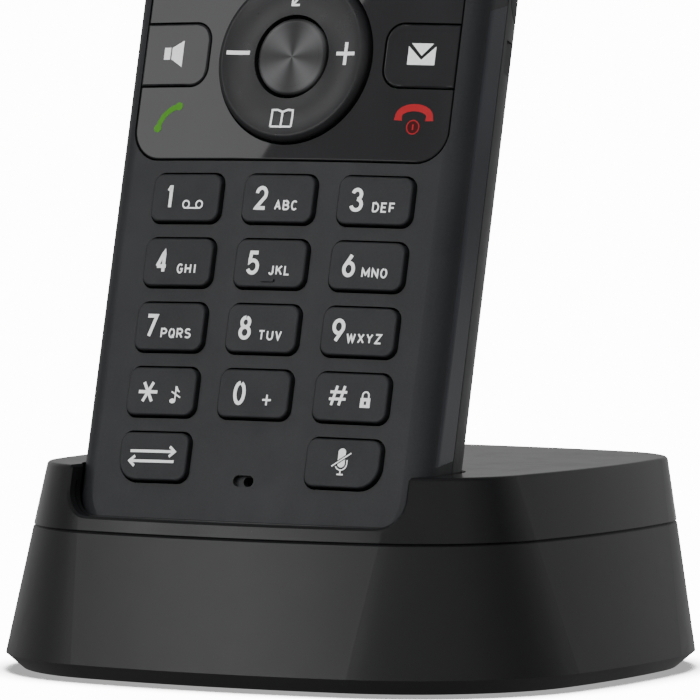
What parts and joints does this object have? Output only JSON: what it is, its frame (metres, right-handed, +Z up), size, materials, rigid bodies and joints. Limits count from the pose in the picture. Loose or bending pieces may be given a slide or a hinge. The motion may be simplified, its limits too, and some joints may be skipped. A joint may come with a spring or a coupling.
{
  "type": "cordless phone with charging cradle",
  "caption": "Slim keypad cordless handset standing at a backward lean in a low squared charging cradle with bowed sides, glossy upper cover and satin lower housing.",
  "frame": {"origin": "centre of the cradle's footprint on the surface it stands on, under the feet", "axes": "+Z up, -Y the front that the keypad faces, +X the handset's right-hand side as its user sees it"},
  "size_m": [0.0812, 0.0724, 0.1516],
  "materials": {
    "cover_gloss": "gloss",
    "housing_satin": "satin",
    "base_black": "matte",
    "foot_rubber": "matte",
    "screw_steel": "satin",
    "ballast_iron": "rough",
    "board_green": "satin",
    "contact_gold": "polished",
    "shell_charcoal": "satin",
    "back_charcoal": "satin",
    "trim_gloss": "gloss",
    "battery_wrap": "satin",
    "lens_glass": "gloss",
    "display_black": "gloss",
    "key_silicone": "matte",
    "speaker_can": "satin",
    "cover_rubber": "matte",
    "lamp_lens": "gloss",
    "panel_gloss": "gloss",
    "ring_satin": "satin",
    "button_metal": "satin",
    "key_charcoal": "satin"
  },
  "bodies": {
    "base": {"base_cover": "cover_gloss", "base_housing": "housing_satin", "base_plate": "base_black", "base_feet": "foot_rubber", "base_screws": "screw_steel", "ballast_weight": "ballast_iron", "charge_board": "board_green", "contact_carrier": "base_black", "dc_inlet": "base_black"},
    "handset": {"front_shell": "shell_charcoal", "back_cover": "back_charcoal", "side_trim_left": "trim_gloss", "side_trim_right": "trim_gloss", "display_lens": "lens_glass", "display_module": "display_black", "main_board": "board_green", "key_mat": "key_silicone", "dome_sheet": "screw_steel", "earpiece_speaker": "speaker_can", "earpiece_mesh": "screw_steel", "ringer_speaker": "speaker_can", "microphone": "speaker_can", "handset_contacts": "contact_gold", "headset_jack": "base_black", "antenna": "contact_gold", "vibration_motor": "screw_steel", "signal_lamp": "lamp_lens", "handset_screws": "screw_steel"},
    "charge_contact_left": {"charge_contact_left": "contact_gold"},
    "charge_contact_right": {"charge_contact_right": "contact_gold"},
    "battery_door": {"battery_door": "back_charcoal"},
    "battery_pack": {"battery_pack": "battery_wrap"},
    "jack_cover": {"jack_cover": "cover_rubber"},
    "nav_pad": {"nav_pad": "key_silicone"},
    "nav_ring": {"nav_ring": "ring_satin"},
    "nav_button": {"nav_button": "button_metal"},
    "function_plate": {"function_plate": "panel_gloss"},
    "key_speaker": {"key_speaker": "panel_gloss"},
    "key_message": {"key_message": "panel_gloss"},
    "soft_key_left": {"soft_key_left": "panel_gloss"},
    "soft_key_right": {"soft_key_right": "panel_gloss"},
    "key_1": {"key_1": "key_charcoal"},
    "key_2": {"key_2": "key_charcoal"},
    "key_3": {"key_3": "key_charcoal"},
    "key_4": {"key_4": "key_charcoal"},
    "key_5": {"key_5": "key_charcoal"},
    "key_6": {"key_6": "key_charcoal"},
    "key_7": {"key_7": "key_charcoal"},
    "key_8": {"key_8": "key_charcoal"},
    "key_9": {"key_9": "key_charcoal"},
    "key_star": {"key_star": "key_charcoal"},
    "key_0": {"key_0": "key_charcoal"},
    "key_hash": {"key_hash": "key_charcoal"},
    "key_transfer": {"key_transfer": "key_charcoal"},
    "key_mute": {"key_mute": "key_charcoal"}
  },
  "joints": [
    {"name": "handset_lift", "type": "slide", "parent": "base", "child": "handset", "axis": [0, 0.2368, 0.9715], "range_m": [0, 0.04]},
    {"name": "charge_contact_left_press", "type": "slide", "parent": "base", "child": "charge_contact_left", "axis": [0, -0.2368, -0.9715], "range_m": [0, 0.0008], "stiffness_N_per_m": 200},
    {"name": "charge_contact_right_press", "type": "slide", "parent": "base", "child": "charge_contact_right", "axis": [0, -0.2368, -0.9715], "range_m": [0, 0.0008], "stiffness_N_per_m": 200},
    {"name": "battery_door_release", "type": "slide", "parent": "handset", "child": "battery_door", "axis": [0, 0.9715, -0.2368], "range_m": [0, 0.012]},
    {"name": "battery_removal", "type": "slide", "parent": "handset", "child": "battery_pack", "axis": [0, 0.9715, -0.2368], "range_m": [0, 0.0048]},
    {"name": "jack_cover_pull", "type": "slide", "parent": "handset", "child": "jack_cover", "axis": [1, 0, 0], "range_m": [0, 0.004]},
    {"name": "key_1_press", "type": "slide", "parent": "handset", "child": "key_1", "axis": [0, 0.9715, -0.2368], "range_m": [0, 0.00045], "stiffness_N_per_m": 300},
    {"name": "key_2_press", "type": "slide", "parent": "handset", "child": "key_2", "axis": [0, 0.9715, -0.2368], "range_m": [0, 0.00045], "stiffness_N_per_m": 300},
    {"name": "key_3_press", "type": "slide", "parent": "handset", "child": "key_3", "axis": [0, 0.9715, -0.2368], "range_m": [0, 0.00045], "stiffness_N_per_m": 300},
    {"name": "key_4_press", "type": "slide", "parent": "handset", "child": "key_4", "axis": [0, 0.9715, -0.2368], "range_m": [0, 0.00045], "stiffness_N_per_m": 300},
    {"name": "key_5_press", "type": "slide", "parent": "handset", "child": "key_5", "axis": [0, 0.9715, -0.2368], "range_m": [0, 0.00045], "stiffness_N_per_m": 300},
    {"name": "key_6_press", "type": "slide", "parent": "handset", "child": "key_6", "axis": [0, 0.9715, -0.2368], "range_m": [0, 0.00045], "stiffness_N_per_m": 300},
    {"name": "key_7_press", "type": "slide", "parent": "handset", "child": "key_7", "axis": [0, 0.9715, -0.2368], "range_m": [0, 0.00045], "stiffness_N_per_m": 300},
    {"name": "key_8_press", "type": "slide", "parent": "handset", "child": "key_8", "axis": [0, 0.9715, -0.2368], "range_m": [0, 0.00045], "stiffness_N_per_m": 300},
    {"name": "key_9_press", "type": "slide", "parent": "handset", "child": "key_9", "axis": [0, 0.9715, -0.2368], "range_m": [0, 0.00045], "stiffness_N_per_m": 300},
    {"name": "key_star_press", "type": "slide", "parent": "handset", "child": "key_star", "axis": [0, 0.9715, -0.2368], "range_m": [0, 0.00045], "stiffness_N_per_m": 300},
    {"name": "key_0_press", "type": "slide", "parent": "handset", "child": "key_0", "axis": [0, 0.9715, -0.2368], "range_m": [0, 0.00045], "stiffness_N_per_m": 300},
    {"name": "key_hash_press", "type": "slide", "parent": "handset", "child": "key_hash", "axis": [0, 0.9715, -0.2368], "range_m": [0, 0.00045], "stiffness_N_per_m": 300},
    {"name": "key_transfer_press", "type": "slide", "parent": "handset", "child": "key_transfer", "axis": [0, 0.9715, -0.2368], "range_m": [0, 0.00045], "stiffness_N_per_m": 300},
    {"name": "key_mute_press", "type": "slide", "parent": "handset", "child": "key_mute", "axis": [0, 0.9715, -0.2368], "range_m": [0, 0.00045], "stiffness_N_per_m": 300},
    {"name": "key_speaker_press", "type": "slide", "parent": "handset", "child": "key_speaker", "axis": [0, 0.9715, -0.2368], "range_m": [0, 0.00035], "stiffness_N_per_m": 300},
    {"name": "key_message_press", "type": "slide", "parent": "handset", "child": "key_message", "axis": [0, 0.9715, -0.2368], "range_m": [0, 0.00035], "stiffness_N_per_m": 300},
    {"name": "soft_key_left_press", "type": "slide", "parent": "handset", "child": "soft_key_left", "axis": [0, 0.9715, -0.2368], "range_m": [0, 0.00035], "stiffness_N_per_m": 300},
    {"name": "soft_key_right_press", "type": "slide", "parent": "handset", "child": "soft_key_right", "axis": [0, 0.9715, -0.2368], "range_m": [0, 0.00035], "stiffness_N_per_m": 300},
    {"name": "nav_button_press", "type": "slide", "parent": "handset", "child": "nav_button", "axis": [0, 0.9715, -0.2368], "range_m": [0, 0.0004], "stiffness_N_per_m": 300},
    {"name": "nav_ring_up_down", "type": "hinge", "parent": "handset", "child": "nav_pad", "pos_m": [0, -0.01088, 0.07581], "axis": [1, 0, 0], "range_deg": [-1.5, 1.5], "stiffness_Nm_per_rad": 0.1},
    {"name": "nav_ring_left_right", "type": "hinge", "parent": "nav_pad", "child": "nav_ring", "pos_m": [0, -0.01088, 0.07581], "axis": [0, 0.2368, 0.9715], "range_deg": [-1.5, 1.5], "stiffness_Nm_per_rad": 0.1},
    {"name": "call_end_rock", "type": "hinge", "parent": "handset", "child": "function_plate", "pos_m": [0, -0.01098, 0.07923], "axis": [0, 0.2368, 0.9715], "range_deg": [-1, 1], "stiffness_Nm_per_rad": 0.2}
  ],
  "couplings": [
    {"joint": "battery_removal", "follows": "battery_door_release", "ratio": 0.4}
  ]
}
